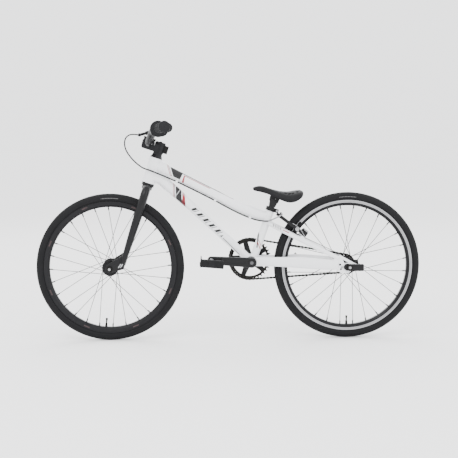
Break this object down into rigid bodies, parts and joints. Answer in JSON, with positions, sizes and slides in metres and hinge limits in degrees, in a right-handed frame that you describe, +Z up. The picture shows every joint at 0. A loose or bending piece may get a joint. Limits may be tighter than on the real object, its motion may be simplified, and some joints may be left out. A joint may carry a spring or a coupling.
{
  "type": "bmx bike",
  "caption": "Small race bicycle with 20 inch wheels, a single-speed chain drive, low-rise handlebar, rim brake on the rear wheel and a height-adjustable seat.",
  "frame": {"origin": "on the ground, half way between the two axles, in the centre plane of the frame", "axes": "+X forward, the way the bike travels; +Y to the rider's left; +Z up"},
  "size_m": [1.345, 0.701, 0.7641],
  "materials": {
    "frame_paint": null,
    "black_paint": "gloss black paint",
    "black_alloy": "black anodised, satin",
    "rim_alloy": "machined brake track, satin, with black inner band",
    "black_steel": "blackened steel",
    "bright_steel": "zinc plated steel",
    "tyre_rubber": "matte black rubber with fine tread",
    "tube_rubber": "matte black rubber",
    "grip_rubber": "matte ribbed rubber",
    "pad_rubber": "matte rubber",
    "cable_cover": "satin black sheath",
    "black_resin": "moulded black resin",
    "saddle_cover": "textured black cover"
  },
  "bodies": {
    "frame": {"head_tube": "frame_paint", "top_tube": "frame_paint", "down_tube": "frame_paint", "seat_tube": "frame_paint", "bottom_bracket_shell": "frame_paint", "chain_stays": "frame_paint", "seat_stays": "frame_paint", "rear_dropouts": "frame_paint", "headset_bearings": "bright_steel", "bottom_bracket_bearings": "bright_steel", "seat_clamp": "black_alloy", "chain_tensioners": "black_alloy", "rear_axle": "bright_steel", "rear_axle_nuts": "black_steel", "cable_guides": "frame_paint", "chain": "black_steel", "brake_cable": "cable_cover"},
    "fork": {"fork_steerer": "black_paint", "fork_leg_left": "black_paint", "fork_leg_right": "black_paint", "front_axle": "bright_steel", "front_axle_nuts": "black_steel", "headset_covers": "black_alloy", "stem": "black_alloy", "stem_plate": "black_alloy", "stem_bolts": "bright_steel", "handlebar": "black_paint", "grip_left": "grip_rubber", "grip_right": "grip_rubber", "brake_lever_bracket": "black_alloy"},
    "brake_lever": {"brake_lever": "black_alloy"},
    "front_wheel": {"front_tyre": "tyre_rubber", "front_inner_tube": "tube_rubber", "front_rim": "black_alloy", "front_spokes": "black_steel", "front_hub": "black_alloy", "front_hub_bearings": "bright_steel"},
    "rear_wheel": {"rear_tyre": "tyre_rubber", "rear_inner_tube": "tube_rubber", "rear_rim": "rim_alloy", "rear_spokes": "black_steel", "rear_hub": "black_alloy", "rear_hub_bearings": "bright_steel"},
    "freewheel": {"freewheel": "black_steel"},
    "crank": {"crank_spindle": "bright_steel", "crank_arm_left": "black_alloy", "crank_arm_right": "black_alloy", "chainring": "black_steel", "crank_bolts": "bright_steel", "pedal_spindles": "bright_steel"},
    "pedal_left": {"pedal_left": "black_resin"},
    "pedal_right": {"pedal_right": "black_resin"},
    "brake_arm_left": {"brake_arm_left": "black_alloy", "brake_pad_left": "pad_rubber", "brake_noodle": "bright_steel"},
    "brake_arm_right": {"brake_arm_right": "black_alloy", "brake_pad_right": "pad_rubber"},
    "seat_post": {"seat_post": "black_paint"},
    "saddle": {"saddle_base": "black_resin", "saddle_pad": "saddle_cover"}
  },
  "joints": [
    {"name": "steering", "type": "hinge", "parent": "frame", "child": "fork", "pos_m": [0.266, 0, 0.5945], "axis": [-0.309, 0, 0.9511], "range_deg": [-80, 80], "deforming": ["brake_cable"]},
    {"name": "front_wheel_spin", "type": "hinge", "parent": "fork", "child": "front_wheel", "pos_m": [0.415, 0, 0.2575], "axis": [0, 1, 0], "continuous": true},
    {"name": "rear_wheel_spin", "type": "hinge", "parent": "frame", "child": "rear_wheel", "pos_m": [-0.415, 0, 0.2575], "axis": [0, 1, 0], "continuous": true},
    {"name": "crank_spin", "type": "hinge", "parent": "frame", "child": "crank", "pos_m": [-0.075, 0, 0.2765], "axis": [0, 1, 0], "continuous": true, "deforming": ["chain"]},
    {"name": "freewheel_spin", "type": "hinge", "parent": "frame", "child": "freewheel", "pos_m": [-0.415, 0, 0.2575], "axis": [0, 1, 0], "continuous": true},
    {"name": "left_pedal_spin", "type": "hinge", "parent": "crank", "child": "pedal_left", "pos_m": [0.06466, 0.12, 0.28627], "axis": [0, 1, 0], "continuous": true},
    {"name": "right_pedal_spin", "type": "hinge", "parent": "crank", "child": "pedal_right", "pos_m": [-0.21466, -0.12, 0.26673], "axis": [0, 1, 0], "continuous": true},
    {"name": "brake_lever_pull", "type": "hinge", "parent": "fork", "child": "brake_lever", "pos_m": [0.28282, -0.19911, 0.72576], "axis": [-0.2419, -0.0107, -0.9702], "range_deg": [0, 16], "stiffness_Nm_per_rad": 1},
    {"name": "left_brake_arm_swing", "type": "hinge", "parent": "frame", "child": "brake_arm_left", "pos_m": [-0.248, 0.041, 0.353], "axis": [0.6018, 0, -0.7986], "range_deg": [0, 2], "stiffness_Nm_per_rad": 2},
    {"name": "right_brake_arm_swing", "type": "hinge", "parent": "frame", "child": "brake_arm_right", "pos_m": [-0.248, -0.041, 0.353], "axis": [-0.6018, 0, 0.7986], "range_deg": [0, 2], "stiffness_Nm_per_rad": 2},
    {"name": "seat_height", "type": "slide", "parent": "frame", "child": "seat_post", "axis": [-0.3338, 0, 0.9426], "range_m": [0, 0.06]},
    {"name": "saddle_tilt", "type": "hinge", "parent": "seat_post", "child": "saddle", "pos_m": [-0.1555, 0, 0.481], "axis": [0, 1, 0], "range_deg": [-8, 8]}
  ],
  "couplings": [
    {"joint": "freewheel_spin", "follows": "crank_spin", "ratio": 2.25},
    {"joint": "left_brake_arm_swing", "follows": "brake_lever_pull", "ratio": 0.125},
    {"joint": "right_brake_arm_swing", "follows": "brake_lever_pull", "ratio": 0.125}
  ]
}
